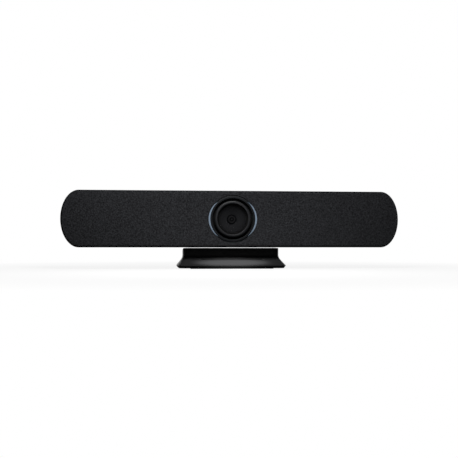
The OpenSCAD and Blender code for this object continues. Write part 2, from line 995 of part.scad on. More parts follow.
module antennas() {
    color([0.7, 0.5, 0.2]) in_bar()
        for (side = [-1, 1])
            translate([side * antenna_x, bar_h / 2 - wall - antenna_size[1] / 2])
                block([antenna_size[0], antenna_size[1]], antenna_depth,
                    antenna_depth + antenna_size[2]);
}

// Boards and cooling

module main_board() {
    color([0.08, 0.22, 0.12]) in_bar()
        slab(board_front, board_back) difference() {
            square([board_w, board_h], center = true);
            for (side = [-1, 1], up = [-1, 1])
                translate([side * board_post[0], up * board_post[1]]) circle(screw_r + fit);
        }
}

module board_chips() {
    color([0.08, 0.08, 0.09]) in_bar() {
        translate([0, soc_v]) block([soc_w, soc_w], board_back, board_back + soc_t);
        for (side = [-1, 1])
            translate([side * memory_x, soc_v])
                block([memory_size[0], memory_size[1]], board_front - memory_size[2], board_front);
    }
}

module shield_cans() {
    color([0.75, 0.76, 0.78]) in_bar()
        for (side = [-1, 1]) translate([side * shield_x, 0]) difference() {
            block([shield_size[0], shield_size[1]], board_front - shield_size[2], board_front);
            block([shield_size[0] - 2 * shield_wall, shield_size[1] - 2 * shield_wall],
                board_front - shield_size[2] + shield_wall, board_front + over);
        }
}

module thermal_pad() {
    color([0.55, 0.6, 0.7]) in_bar()
        translate([0, soc_v]) block([soc_w, soc_w], board_back + soc_t, board_back + soc_t + pad_t);
}

module heat_sink() {
    base = board_back + soc_t + pad_t;
    pitch = (sink_w - sink_fin_t) / (sink_fins - 1);
    color([0.6, 0.61, 0.63]) in_bar()
        translate([0, soc_v]) {
            block([sink_w, sink_h], base, base + sink_base_t);
            for (k = [0 : sink_fins - 1])
                translate([k * pitch - (sink_w - sink_fin_t) / 2, 0])
                    block([sink_fin_t, sink_h], base + sink_base_t, base + sink_base_t + sink_fin_h);
        }
}

// The ports

module port_place(x) {
    translate([x, -port_drop]) children();
}

// Each port's outline, for its cut in the panel
module port_cuts() {
    port_place(dc_x) circle(dc_bore_r + dc_wall + port_gap);
    port_place(network_x) square([for (s = network_size) s + 2 * port_gap], center = true);
    port_place(hdmi_x) square([for (s = hdmi_size) s + 2 * port_gap], center = true);
    port_place(usb_c_x) square([for (s = usb_c_size) s + 2 * port_gap], center = true);
    port_place(usb_a_x) square([for (s = usb_a_size) s + 2 * port_gap], center = true);
    port_place(audio_x) circle(audio_size[0] / 2 + port_gap);
    port_place(pairing_x) circle(pairing_r + fit);
    port_place(power_x) circle(power_r + fit);
}

module port_panel() {
    color([0.07, 0.07, 0.075]) in_bar()
        slab(panel_front, panel_back) difference() {
            translate([0, -port_drop])
                square([recess_w - 2 * fit, recess_h - 2 * fit], center = true);
            port_cuts();
        }
}

module dc_jack() {
    color([0.05, 0.05, 0.05]) in_bar() port_place(dc_x) {
        difference() {
            union() {
                block(dc_size, board_back, panel_front);
                disc(dc_bore_r + dc_wall, panel_front - over, port_back);
            }
            disc(dc_bore_r, port_back - dc_bore_len, port_back + over);
        }
        disc(dc_pin_r, port_back - dc_bore_len - over, port_back - over);
    }
}

// A metal shell with a cavity and a tongue, as the flat sockets have
module flat_socket(size, tongue, depth) {
    difference() {
        block(size, board_back, port_back);
        block([for (s = size) s - 2 * port_wall], port_back - depth, port_back + over);
    }
    block(tongue, port_back - depth - over, port_back - over);
}

module hdmi_port() {
    color([0.7, 0.71, 0.73]) in_bar() port_place(hdmi_x)
        flat_socket(hdmi_size, hdmi_tongue, hdmi_depth);
}

module usb_c_port() {
    color([0.7, 0.71, 0.73]) in_bar() port_place(usb_c_x)
        flat_socket(usb_c_size, usb_c_tongue, usb_c_depth);
}

module usb_a_port() {
    color([0.7, 0.71, 0.73]) in_bar() port_place(usb_a_x)
        flat_socket(usb_a_size, usb_a_tongue, usb_a_depth);
}

module network_port() {
    near = port_back - network_depth;
    color([0.7, 0.71, 0.73]) in_bar() port_place(network_x)
        difference() {
            block(network_size, board_back, port_back);
            translate([0, network_rise]) block(network_bore, near, port_back + over);
            translate([0, network_rise - (network_bore[1] + network_key[1]) / 2])
                block([network_key[0], network_key[1] + over / 2], near, port_back + over);
        }
}

module audio_jack() {
    color([0.05, 0.05, 0.05]) in_bar() port_place(audio_x)
        difference() {
            union() {
                block(audio_size, board_back, panel_front);
                disc(audio_size[0] / 2, panel_front - over, port_back);
            }
            disc(audio_bore_r, port_back - audio_bore_len, port_back + over);
        }
}

// A cap through the panel, a collar that stops behind it, and a stem to its switch
module button_cap(r) {
    collar_back = panel_front - fit;
    disc(r, collar_back - button_collar_t, panel_back + button_proud);
    disc(r + button_collar, collar_back - button_collar_t, collar_back);
    disc(stem_r, board_back + switch_size[2] + plunger_h + button_travel + fit,
        collar_back - button_collar_t);
}

module power_button() {
    color([0.16, 0.16, 0.17]) in_bar() port_place(power_x) button_cap(power_r);
}

module pairing_button() {
    color([0.16, 0.16, 0.17]) in_bar() port_place(pairing_x) button_cap(pairing_r);
}

module button_switches() {
    color([0.5, 0.5, 0.52]) in_bar()
        for (x = [pairing_x, power_x]) port_place(x) {
            block([switch_size[0], switch_size[1]], board_back, board_back + switch_size[2]);
            disc(plunger_r, board_back + switch_size[2], board_back + switch_size[2] + plunger_h);
        }
}

// A screw that points back, its head's underside at the given depth
module screw(seat, length) {
    disc(screw_head_r, seat - screw_head_t, seat);
    disc(screw_r, seat, seat + length);
}

module bar_screws() {
    color([0.6, 0.6, 0.62]) in_bar() {
        for (side = [-1, 1], up = [-1, 1], at = frame_posts)
            translate([side * at[0], up * at[1]]) screw(frame_front, frame_t + screw_len);
        for (side = [-1, 1], up = [-1, 1])
            translate([side * board_post[0], up * board_post[1]])
                screw(board_front, board_t + screw_len);
        for (side = [-1, 1], up = [-1, 1])
            translate([side * sensor_post_at, up * sensor_post_at])
                mirror([0, 0, 1])
                    screw(-sensor_front - sensor_board_t, sensor_board_t + sensor_post_h / 2);
        bracket_screw_places() mirror([0, 0, 1]) {
            cylinder(h = bracket_head_t, r = bracket_head_r);
            cylinder(h = wall + mount_plate_t, r = bracket_screw_r);
        }
    }
}

// The hinge

module hinge_mount_plate() {
    top = -bar_h / 2 + wall + mount_plate_t;
    color([0.62, 0.63, 0.65]) in_bar() difference() {
        translate([0, top - mount_plate_t / 2])
            block([web_w, mount_plate_t], axis_depth, flange_back);
        bracket_screw_places() cylinder(h = 4 * wall + 4 * mount_plate_t, r = bracket_screw_r,
            center = true);
    }
}

module bracket_screw_places() {
    for (side = [-1, 1], x = bracket_screw_x)
        translate([side * x, -bar_h / 2, bracket_screw_depth]) rotate([90, 0, 0]) children();
}

// Folded steel leaf: a flange under the bar, a web down into the neck and two knuckles
module bar_bracket() {
    near = axis_depth - plate_t / 2;
    web_top = -bar_h / 2 + plate_t;
    web_bottom = axis_v + knuckle_r + web_lift;
    color([0.78, 0.79, 0.8]) in_bar() difference() {
        union() {
            translate([0, web_top - plate_t / 2]) block([web_w, plate_t], near, flange_back);
            translate([0, (web_top + web_bottom) / 2])
                block([web_w, web_top - web_bottom], near, near + plate_t);
            for (side = [-1, 1]) {
                translate([side * hinge_x, (web_top + axis_v) / 2])
                    block([knuckle_w, web_top - axis_v], near, near + plate_t);
                translate([side * hinge_x, axis_v, axis_depth]) rotate([0, 90, 0])
                    cylinder(h = knuckle_w, r = knuckle_r, center = true);
            }
        }
        for (side = [-1, 1])
            translate([side * hinge_x, axis_v, axis_depth]) rotate([0, 90, 0])
                cylinder(h = knuckle_w + 2 * over, r = pin_r + running, center = true);
        bracket_screw_places()
            cylinder(h = 4 * plate_t, r = bracket_screw_r + fit, center = true);
        bracket_screw_places()
            translate([0, 0, -bracket_head_t])
                cylinder(h = bracket_head_t + over, r = bracket_head_r + fit);
    }
}

module at_axis() {
    in_stand() for (side = [-1, 1])
        translate([side * hinge_x, axis_depth, axis_z]) rotate([0, 90, 0]) children();
}

// Steel forks on the base plate that carry the pins
module hinge_clevises() {
    color([0.62, 0.63, 0.65]) difference() {
        in_stand() for (side = [-1, 1]) translate([side * hinge_x, 0, 0]) {
            for (ear = [-1, 1])
                translate([ear * (ear_in + ear_t / 2), axis_depth, 0]) {
                    translate([-ear_t / 2, -knuckle_r, ballast_top])
                        cube([ear_t, 2 * knuckle_r, axis_z - ballast_top]);
                    translate([0, 0, axis_z]) rotate([0, 90, 0])
                        cylinder(h = ear_t, r = knuckle_r, center = true);
                }
            translate([-ear_in - ear_t, axis_depth - knuckle_r, ballast_top])
                cube([2 * (ear_in + ear_t), clevis_foot_depth, plate_t]);
        }
        at_axis() cylinder(h = 2 * knuckle_w, r = pin_r, center = true);
        clevis_screw_places() cylinder(h = ballast_t + 2 * plate_t, r = foot_screw_r);
    }
}

module clevis_screw_places() {
    in_stand() for (side = [-1, 1], way = [-1, 1])
        translate([side * hinge_x + way * clevis_screw_x, clevis_screw_depth, pad_h]) children();
}

module hinge_pins() {
    reach = ear_in + ear_t;
    color([0.72, 0.73, 0.75]) at_axis() {
        cylinder(h = 2 * reach, r = pin_r, center = true);
        for (end = [-1, 1])
            translate([0, 0, end * (reach + pin_head_t / 2)])
                cylinder(h = pin_head_t, r = pin_head_r, center = true);
    }
}

module friction_washers() {
    color([0.55, 0.5, 0.35]) at_axis() difference() {
        for (end = [-1, 1])
            translate([0, 0, end * (ear_in - washer_t / 2)])
                cylinder(h = washer_t, r = washer_r, center = true);
        cylinder(h = 2 * knuckle_w, r = pin_r, center = true);
    }
}

// The stand

// Plan of the stand at one height: the neck's outline let out by a share of the flares
module stand_plan(out, inset = 0) {
    corner = neck_corner + (foot_corner - neck_corner) * out - inset;
    left = neck_w / 2 + side_flare * out - inset - corner;
    near = neck_set - front_flare * out + inset + corner;
    far = neck_set + neck_depth + back_flare * out - inset - corner;
    for (side = [-1, 1], y = [near, far]) translate([side * left, y]) circle(corner, $fn = 32);
    translate([-left, near - corner]) square([2 * left, far - near + 2 * corner]);
    translate([-left - corner, near]) square([2 * left + 2 * corner, far - near]);
}

module stand_level(z, out, inset = 0) {
    translate([0, 0, z]) linear_extrude(thin) stand_plan(out, inset);
}

module stand_shell() {
    color([0.1, 0.1, 0.105]) in_stand() {
        difference() {
            union() {
                hull() {
                    stand_level(shell_bottom, 1, lip_under);
                    stand_level(lip_top - thin, 1);
                    stand_level(blend_low, blend_share);
                }
                for (k = [0 : blend_steps - 1]) hull() {
                    stand_level(blend_levels[k][0], blend_levels[k][1]);
                    stand_level(blend_levels[k + 1][0], blend_levels[k + 1][1]);
                }
                translate([0, 0, apron_top])
                    linear_extrude(neck_top - apron_top) stand_plan(0);
            }
            stand_cavity();
            neck_slope();
            ledge_line();
        }
        shell_bosses();
    }
}

module stand_cavity() {
    translate([0, 0, shell_bottom - over])
        linear_extrude(lip_top - shell_bottom + over) stand_plan(1, lip_under + stand_wall);
    hull() {
        stand_level(lip_top - thin, 1, stand_wall);
        stand_level(apron_top - stand_wall, cavity_share, stand_wall);
    }
    translate([0, 0, lip_top]) linear_extrude(neck_top - lip_top + over)
        stand_plan(0, stand_wall);
}

// Cuts the neck's top down towards the back, so that the bar can tilt
module neck_slope() {
    rotate([90, 0, 90]) linear_extrude(neck_w + 2 * over, center = true)
        polygon([
            [neck_set + stand_wall, neck_top + over],
            [neck_set + stand_wall, neck_top],
            [neck_set + neck_depth + over, neck_back_top],
            [neck_set + neck_depth + over, neck_top + over]
        ]);
}

// Shallow crease across the front of the apron
module ledge_line() {
    out = (apron_top - ledge_line_z) / (apron_top - lip_top);
    translate([-ledge_line_w / 2, neck_set - front_flare * out - ledge_line_t, ledge_line_z])
        cube([ledge_line_w, 2 * ledge_line_t, ledge_line_t]);
}

// Posts in the neck's corners that the base plate is screwed to
module shell_bosses() {
    boss_places() translate([0, 0, ballast_top]) difference() {
        cylinder(h = shell_boss_z - ballast_top, r = shell_boss_r);
        translate([0, 0, -over]) cylinder(h = foot_screw_len - ballast_t + 2 * over, r = foot_screw_r);
    }
}

module boss_places() {
    for (side = [-1, 1], y = [neck_set + shell_boss_in, neck_set + neck_depth - shell_boss_in])
        translate([side * (neck_w / 2 - shell_boss_in), y, 0]) children();
}

module ballast_plate() {
    color([0.35, 0.35, 0.37]) difference() {
        in_stand() translate([0, 0, pad_h]) linear_extrude(ballast_t)
            stand_plan(1, lip_under + stand_wall + fit);
        stand_screw_places() {
            translate([0, 0, -over]) cylinder(h = ballast_t + 2 * over, r = foot_screw_r + fit);
            translate([0, 0, -over]) cylinder(h = foot_head_t + over, r = foot_head_r + fit);
        }
        in_stand() insert_place()
            translate([0, 0, -over]) cylinder(h = ballast_t + 2 * over, r = insert_r);
    }
}

module stand_screw_places() {
    in_stand() boss_places() translate([0, 0, pad_h]) children();
    clevis_screw_places() children();
}

module stand_screws() {
    color([0.6, 0.6, 0.62]) {
        stand_screw_places() cylinder(h = foot_head_t, r = foot_head_r);
        in_stand() boss_places() translate([0, 0, pad_h])
            cylinder(h = foot_screw_len, r = foot_screw_r);
        clevis_screw_places() cylinder(h = ballast_t + plate_t, r = foot_screw_r);
    }
}

module insert_place() {
    translate([0, (foot_front + foot_back) / 2, pad_h]) children();
}

module tripod_insert() {
    color([0.72, 0.58, 0.3]) in_stand() insert_place() difference() {
        union() {
            cylinder(h = insert_h, r = insert_r);
            translate([0, 0, ballast_t]) cylinder(h = insert_flange_t, r = insert_flange_r);
        }
        translate([0, 0, -over]) cylinder(h = thread_len + over, r = thread_r);
    }
}

module rubber_pads() {
    color([0.05, 0.05, 0.05]) in_stand()
        for (y = [foot_front + pad_in, foot_back - pad_in])
            translate([-rubber_pad_w / 2, y - rubber_pad_depth / 2, 0])
                cube([rubber_pad_w, rubber_pad_depth, pad_h]);
}

rear_housing();
front_bezel();
grille_frame();
grille_fabric();
mid_frame();
lens_bezel_ring();
lens_hood();
lens_window();
light_guide_left();
light_guide_right();
led_board();
camera_holder();
lens_baffle();
lens_barrel();
front_lens();
inner_lenses();
filter_glass();
image_sensor();
sensor_board();
camera_flex();
speaker_box_left();
speaker_box_right();
speaker_basket_left();
speaker_basket_right();
speaker_magnet_left();
speaker_magnet_right();
speaker_cone_left();
speaker_cone_right();
speaker_surround_left();
speaker_surround_right();
mic_gaskets();
mic_boards();
microphones();
antennas();
main_board();
board_chips();
shield_cans();
thermal_pad();
heat_sink();
port_panel();
dc_jack();
network_port();
hdmi_port();
usb_c_port();
usb_a_port();
audio_jack();
power_button();
pairing_button();
button_switches();
bar_screws();
hinge_mount_plate();
bar_bracket();
hinge_clevises();
hinge_pins();
friction_washers();
stand_shell();
ballast_plate();
stand_screws();
tripod_insert();
rubber_pads();
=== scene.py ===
import json
import math

import bmesh
import bpy
from mathutils import Matrix, Vector


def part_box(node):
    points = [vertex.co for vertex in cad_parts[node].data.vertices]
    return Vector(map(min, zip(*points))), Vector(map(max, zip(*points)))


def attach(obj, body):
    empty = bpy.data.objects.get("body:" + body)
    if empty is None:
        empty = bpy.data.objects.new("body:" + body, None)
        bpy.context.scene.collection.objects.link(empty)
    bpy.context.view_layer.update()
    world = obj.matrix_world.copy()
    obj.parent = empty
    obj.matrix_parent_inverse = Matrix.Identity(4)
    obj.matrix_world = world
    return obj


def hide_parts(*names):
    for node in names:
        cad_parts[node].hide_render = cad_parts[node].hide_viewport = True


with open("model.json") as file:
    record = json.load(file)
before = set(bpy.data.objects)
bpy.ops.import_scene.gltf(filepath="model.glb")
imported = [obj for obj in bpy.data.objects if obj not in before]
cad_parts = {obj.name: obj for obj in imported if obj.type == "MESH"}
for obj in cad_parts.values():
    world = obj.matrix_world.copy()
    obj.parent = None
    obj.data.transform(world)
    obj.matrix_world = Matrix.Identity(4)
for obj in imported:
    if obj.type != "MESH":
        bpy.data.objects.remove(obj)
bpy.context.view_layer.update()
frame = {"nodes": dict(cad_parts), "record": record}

# Shapes are in millimetres. The camera, the lamps and Object coordinates are in metres.
# Pieces of the bar are drawn in the bar's own frame: x across, y the depth behind the
# cloth's face, z up from the centre line. The stand is drawn with x across, y the depth
# behind the same face, and z up from the table.
MM = 0.001
FACE_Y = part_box("grille_fabric")[0].y
BEZEL_LOW, BEZEL_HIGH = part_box("front_bezel")
LENS_Z = (BEZEL_LOW.z + BEZEL_HIGH.z) / 2
BAR_W = (BEZEL_HIGH.x - BEZEL_LOW.x) / MM
BAR_H = (BEZEL_HIGH.z - BEZEL_LOW.z) / MM
IN_BAR = Matrix.Translation((0, FACE_Y, LENS_Z)) @ Matrix.Scale(MM, 4)
IN_STAND = Matrix.Translation((0, FACE_Y, 0)) @ Matrix.Scale(MM, 4)

# The bar's ends are half ellipses, this far from tip to straight edge.
END_W = 25.5

# Points round the bar's rim, round a turned piece, along a light guide and round the stand.
RIM_STEPS = 192
TURN_STEPS = 128
GUIDE_STEPS = 48
PLAN_STEPS = 48

# Two meeting points closer than this, in millimetres, are one.
MERGE = 0.0005

# The photograph's eye: its lens and its rise in pixels, its place and its turn.
PHOTO_SIDE = 458
FOCAL_PIXELS = 833.73
RISE_PIXELS = 17.75
SENSOR_MM = 36
EYE_PLACE = (-0.1311, -1.2, 0.03125)
EYE_TURN = -0.1071

# Light guides: the circle they sit on, their width in the middle, half their angle, the
# gap that is left round them, and the least width at a tip.
GUIDE_R, GUIDE_W, GUIDE_ANGLE = 32.0, 2.25, 49.5
GUIDE_GAP = 0.15
GUIDE_TIP = 0.04
TIP_X = GUIDE_R * math.cos(math.radians(GUIDE_ANGLE))
TIP_Z = GUIDE_R * math.sin(math.radians(GUIDE_ANGLE))
SAGITTA = GUIDE_R + GUIDE_W - TIP_X
GUIDE_OUT_R = (TIP_Z ** 2 + SAGITTA ** 2) / (2 * SAGITTA)
GUIDE_OUT_X = GUIDE_R + GUIDE_W - GUIDE_OUT_R

# The cloth's round opening.
HOLE_R = 33.4

# Stand: the neck and its place, how far the foot flares out, the corners of both, the
# heights, how far the sole is drawn in under the lip, and the wall.
NECK_W, NECK_D, NECK_AT = 138.4, 22.0, 22.0
FRONT_FLARE, BACK_FLARE, SIDE_FLARE = 20.0, 20.0, 8.4
NECK_CORNER, FOOT_CORNER, LEAST_CORNER = 6.0, 12.0, 0.6
SOLE_Z, LIP_Z, APRON_Z, NECK_Z, NECK_BACK_Z = 0.8, 4.6, 15.9, 29.45, 24.8
LIP_UNDER = 2.6
WALL = 2.0

# The blend from apron to neck: its share of the flare, its rise above the apron's top,
# and its steps.
BLEND_SHARE, BLEND_RISE, BLEND_STEPS = 0.26, 4.0, 12

# The crease pressed into the apron: its height, its half length, how far past that it
# ends, the length it fades over, how far it is pushed in and down, and the cuts for it.
CREASE_Z, CREASE_HALF, CREASE_PAST, CREASE_FADE = 13.2, 47.0, 3, 8
CREASE_DEEP, CREASE_DIP = 1.9, 0.4
CREASE_CUTS = 95


def in_scene(name, data):
    """Makes an object of a mesh, a camera or a lamp, and puts it in the scene."""
    made = bpy.data.objects.new(name, data)
    bpy.context.scene.collection.objects.link(made)
    return made


def camera_at_the_photo():
    """The photograph's eye: a little left of the lens, at the height of the stand's top."""
    lens = bpy.data.cameras.new("eye")
    lens.sensor_width = SENSOR_MM
    lens.lens = FOCAL_PIXELS / PHOTO_SIDE * SENSOR_MM
    lens.shift_y = RISE_PIXELS / PHOTO_SIDE
    lens.clip_start, lens.clip_end = 0.05, 200
    eye = in_scene("eye", lens)
    eye.location = EYE_PLACE
    eye.rotation_euler = (math.pi / 2, 0, EYE_TURN)
    bpy.context.scene.camera = eye


def aimed(lamp, place, aim):
    """Puts a lamp at its place and points it at a spot on the object."""
    holder = in_scene(lamp.name, lamp)
    holder.location = place
    holder.rotation_euler = (Vector(aim) - Vector(place)).to_track_quat("-Z", "Y").to_euler()
    return holder


def soft_box(name, place, aim, width, height, power):
    """A rectangular studio light."""
    lamp = bpy.data.lights.new(name, "AREA")
    lamp.shape = "RECTANGLE"
    lamp.size, lamp.size_y = width, height
    lamp.energy = power
    aimed(lamp, place, aim)


def long_spot(name, place, aim, reach_x, reach_up, power):
    """A lamp whose beam is an ellipse: it falls on one strip of the object."""
    lamp = bpy.data.lights.new(name, "SPOT")
    away = (Vector(aim) - Vector(place)).length
    lamp.spot_size = 2 * math.atan(reach_up / away)
    lamp.spot_blend = 0.8
    lamp.shadow_soft_size = 0.004
    lamp.energy = power
    aimed(lamp, place, aim).scale = (reach_x / reach_up, 1, 1)


class Value:
    """A shader socket that can be used in sums as a number is."""

    def __init__(self, shading, socket):
        self.shading, self.socket = shading, socket

    def _sum(self, operation, first, second):
        return self.shading.maths(operation, first, second)

    def __add__(self, other):
        return self._sum("ADD", self, other)

    def __radd__(self, other):
        return self._sum("ADD", other, self)

    def __sub__(self, other):
        return self._sum("SUBTRACT", self, other)

    def __rsub__(self, other):
        return self._sum("SUBTRACT", other, self)

    def __mul__(self, other):
        return self._sum("MULTIPLY", self, other)

    def __rmul__(self, other):
        return self._sum("MULTIPLY", other, self)

    def __truediv__(self, other):
        return self._sum("DIVIDE", self, other)

    def __rtruediv__(self, other):
        return self._sum("DIVIDE", other, self)

    def __gt__(self, other):
        return self._sum("GREATER_THAN", self, other)

    def __lt__(self, other):
        return self._sum("LESS_THAN", self, other)


class Shading:
    """The nodes of one material or of the surroundings."""

    def __init__(self, tree):
        self.tree = tree

    def node(self, kind, settings=None, values=None, out=0):
        """Makes one node: its settings first, then what feeds its sockets."""
        made = self.tree.nodes.new(kind)
        for key, value in (settings or {}).items():
            setattr(made, key, value)
        for key, value in (values or {}).items():
            self.feed(made.inputs[key], value)
        return Value(self, made.outputs[out])

    def feed(self, socket, value):
        """Links a socket, or sets its number or colour."""
        if isinstance(value, Value):
            self.tree.links.new(value.socket, socket)
        elif value is not None:
            socket.default_value = value

    def maths(self, operation, first, second=None):
        return self.node("ShaderNodeMath", {"operation": operation}, {0: first, 1: second})

    def clamp(self, value, low, high):
        return self.node("ShaderNodeClamp", None, {"Value": value, "Min": low, "Max": high})

    def place(self):
        """Object coordinates, in metres."""
        return self.node("ShaderNodeTexCoord", out="Object")

    def parts(self, vector):
        """The x, y and z of a vector."""
        split = self.node("ShaderNodeSeparateXYZ", None, {0: vector}).socket.node
        return [Value(self, split.outputs[k]) for k in range(3)]

    def looked_at_by(self, *kinds):
        """For each kind of ray, one where such a ray looks and nothing elsewhere."""
        ray = self.node("ShaderNodeLightPath").socket.node
        return [Value(self, ray.outputs[f"Is {kind} Ray"]) for kind in kinds]

    def noise(self, vector, scale, detail, roughness=0.5):
        return self.node("ShaderNodeTexNoise", {"noise_dimensions": "3D"},
                         {"Vector": vector, "Scale": scale, "Detail": detail,
                          "Roughness": roughness})

    def colour_mix(self, factor, first, second):
        """Mixes two colours: sockets 6 and 7, and output 2, are the Mix node's colours."""
        return self.node("ShaderNodeMix", {"data_type": "RGBA"},
                         {0: factor, 6: first, 7: second}, out=2)

    def bump(self, height, distance):
        return self.node("ShaderNodeBump", None,
                         {"Height": height, "Distance": distance, "Strength": 1.0})


class Finish(Shading):
    """One procedural material: a Principled surface and what varies over it."""

    def __init__(self, name, **constants):
        self.material = bpy.data.materials.new(name)
        self.material.use_nodes = True
        super().__init__(self.material.node_tree)
        self.surface = self.tree.nodes["Principled BSDF"]
        self.output = self.tree.nodes["Material Output"]
        self.set(**constants)

    def set(self, **inputs):
        """Feeds the surface's inputs, by their names with _ for a space."""
        for key, value in inputs.items():
            self.feed(self.surface.inputs[key.replace("_", " ")], value)

    def lens_reach(self, x, z):
        """How far a spot lies from the lens's axis, in millimetres."""
        up = z - LENS_Z
        return self.maths("SQRT", x * x + up * up) * (1 / MM)

    def band(self, reach, near, far, sharpness):
        """One between two radii, falling off to nothing on both sides."""
        past_near = self.clamp((reach - near) * sharpness, 0, 1)
        return past_near * self.clamp((far - reach) * sharpness, 0, 1)


def rgb(red, green, blue):
    return (red, green, blue, 1)


def shaded(colour, share):
    """A colour made darker or lighter."""
    return rgb(*[min(1, c * share) for c in colour])


def moulded(name, colour, roughness, grain=0.00002, scale=2500, specular=0.5):
    """Moulded plastic or paint: fine grain, a slight drift of colour and of gloss."""
    shade, wear = 0.12, 0.05
    f = Finish(name, Specular_IOR_Level=specular)
    place = f.place()
    drift = f.noise(place, 14, 2)
    f.set(Base_Color=f.colour_mix(drift, shaded(colour, 1 - shade), shaded(colour, 1 + shade)),
          Roughness=f.clamp(roughness - wear / 2 + wear * f.noise(place, 60, 3), 0.02, 1))
    if grain:
        f.set(Normal=f.bump(f.noise(place, scale, 2), grain))
    return f.material


def metal(name, colour, roughness, brushed=0.0):
    """Bare or plated metal, with fine brush lines along X where it is brushed."""
    along, across, line_depth = 40, 6000, 0.000004
    f = Finish(name, Metallic=1.0)
    x, y, z = f.parts(f.place())
    lines = f.node("ShaderNodeCombineXYZ", None, {0: x * along, 1: y * across, 2: z * across})
    streak = f.noise(lines, 1, 2)
    f.set(Base_Color=f.colour_mix(streak, shaded(colour, 0.9), rgb(*colour)),
          Roughness=f.clamp(roughness + brushed * (streak - 0.5), 0.03, 1))
    if brushed:
        f.set(Normal=f.bump(streak, line_depth))
    return f.material


def painted_shade_and_highlight(name, colour, roughness, specular, shade_zones, edge=None):
    """Satin plastic round the lens, with painted shade in its grooves, where it turns matt black,
    and a painted highlight: a paler band at one edge.

    A groove is (from, to, depth): its radii, and the depth behind the cloth's face where the
    painted shade turns it black. An edge is (from, to, times): the radii of the painted
    highlight, and how many times paler it is.
    """
    f = Finish(name, Specular_IOR_Level=specular)
    place = f.place()
    x, y, z = f.parts(place)
    reach = f.lens_reach(x, z)
    painted_shade = 0
    for near, far, shade_from in shade_zones:
        # Painted shade: black and matt past this depth, between the groove's radii.
        past_shade_depth = f.clamp((y - FACE_Y) * (1 / MM) - shade_from, 0, 1)
        painted_shade = painted_shade + past_shade_depth * (reach > near) * (reach < far)
    painted_shade = f.clamp(painted_shade, 0, 1)
    drift = f.noise(place, 60, 2)
    body = rgb(*colour)
    if edge:
        # Painted highlight: the band between the edge's radii is made paler.
        near, far, highlight_times = edge
        body = f.colour_mix(f.band(reach, near, far, 3), body, shaded(colour, highlight_times))
    # The painted shade turns the colour near black.
    f.set(Base_Color=f.colour_mix(painted_shade, body, rgb(0.0006, 0.0006, 0.0007)),
          Roughness=f.clamp(roughness + 0.04 * (drift - 0.5) + 0.5 * painted_shade, 0, 1))
    return f.material


def lens_painted_highlight():
    """Small front element with no specular: a grey pupil, a painted highlight, inside a near-black
    band, and the same grey on the paler rim outside it.
    """
    highlight_r, dark_band_r = 1.1, 3.5
    f = Finish("lens_painted_highlight", Specular_IOR_Level=0.0)
    place = f.place()
    x, _, z = f.parts(place)
    black = f.band(f.lens_reach(x, z), highlight_r, dark_band_r, 2.5)
    # The grey pupil is a painted highlight on glass that reflects nothing; the band round it is
    # near black.
    grey, dark_band_colour = rgb(0.0130, 0.0128, 0.0132), rgb(0.0001, 0.0001, 0.0001)
    f.set(Base_Color=f.colour_mix(black, grey, dark_band_colour),
          Roughness=0.42 + 0.02 * f.noise(place, 300, 1))
    return f.material


def acoustic_cloth():
    """Charcoal speaker cloth: a fine plain weave with mottled yarns."""
    yarn_pitch, weave_depth = 0.0011, 0.00012
    f = Finish("acoustic_cloth", Specular_IOR_Level=0.12, Sheen_Weight=0.05, Sheen_Roughness=0.6)
    place = f.place()
    x, _, z = f.parts(place)
    turns = 2 * math.pi / yarn_pitch
    warp = f.maths("SINE", x * turns)
    weft = f.maths("SINE", z * turns)
    cross = warp * weft
    yarn = f.noise(place, 900, 3, 0.6)
    mottle = f.noise(place, 480, 2, 0.7)
    drift = f.noise(place, 9, 1)
    tone = f.clamp(0.48 + 2.4 * (mottle - 0.5) + 1.8 * (yarn - 0.5) + 0.2 * (drift - 0.5)
                   + 0.22 * cross, 0, 1)
    f.set(Base_Color=f.colour_mix(tone, rgb(0.0030, 0.0031, 0.0038), rgb(0.0335, 0.0345, 0.0385)),
          Roughness=0.86 + 0.08 * (yarn - 0.5),
          Normal=f.bump(0.35 * cross + yarn, weave_depth))
    return f.material


def glowing_guide():
    """Milky light guide with a soft grey-blue glow."""
    f = Finish("milky_light_guide", Specular_IOR_Level=0.5, Emission_Strength=0.22)
    cloud = f.noise(f.place(), 260, 2)
    f.set(Base_Color=f.colour_mix(cloud, rgb(0.10, 0.13, 0.17), rgb(0.13, 0.165, 0.21)),
          Roughness=0.38 + 0.1 * (cloud - 0.5),
          Emission_Color=f.colour_mix(cloud, rgb(0.30, 0.40, 0.52), rgb(0.36, 0.47, 0.60)))
    return f.material


def clear_glass(name, tint, alpha):
    """Coated glass, mostly clear: a low alpha, and a faint cloudiness in a raking light."""
    f = Finish(name, IOR=1.5, Specular_IOR_Level=0.5, Alpha=alpha)
    haze = f.noise(f.place(), 40, 2)
    f.set(Base_Color=f.colour_mix(haze, shaded(tint, 0.9), rgb(*tint)),
          Roughness=0.03 + 0.02 * haze)
    return f.material


def circuit_board():
    """Green solder mask with paler tracks under it."""
    track_turns = 3800
    f = Finish("circuit_board", Specular_IOR_Level=0.5, Coat_Weight=0.3)
    place = f.place()
    x, _, _ = f.parts(place)
    tracks = (f.maths("SINE", x * track_turns) > 0.55) * (f.noise(place, 90, 0) > 0.5)
    f.set(Base_Color=f.colour_mix(tracks, rgb(0.012, 0.07, 0.035), rgb(0.03, 0.14, 0.07)),
          Roughness=0.42 - 0.08 * tracks)
    return f.material


def paper_cone():
    """Coated paper of the speaker cones, with fibres in it."""
    f = Finish("coated_paper", Specular_IOR_Level=0.3)
    fibre = f.noise(f.place(), 1400, 4, 0.7)
    f.set(Base_Color=f.colour_mix(fibre, rgb(0.014, 0.014, 0.015), rgb(0.04, 0.04, 0.042)),
          Roughness=0.8 + 0.1 * (fibre - 0.5), Normal=f.bump(fibre, 0.00005))
    return f.material


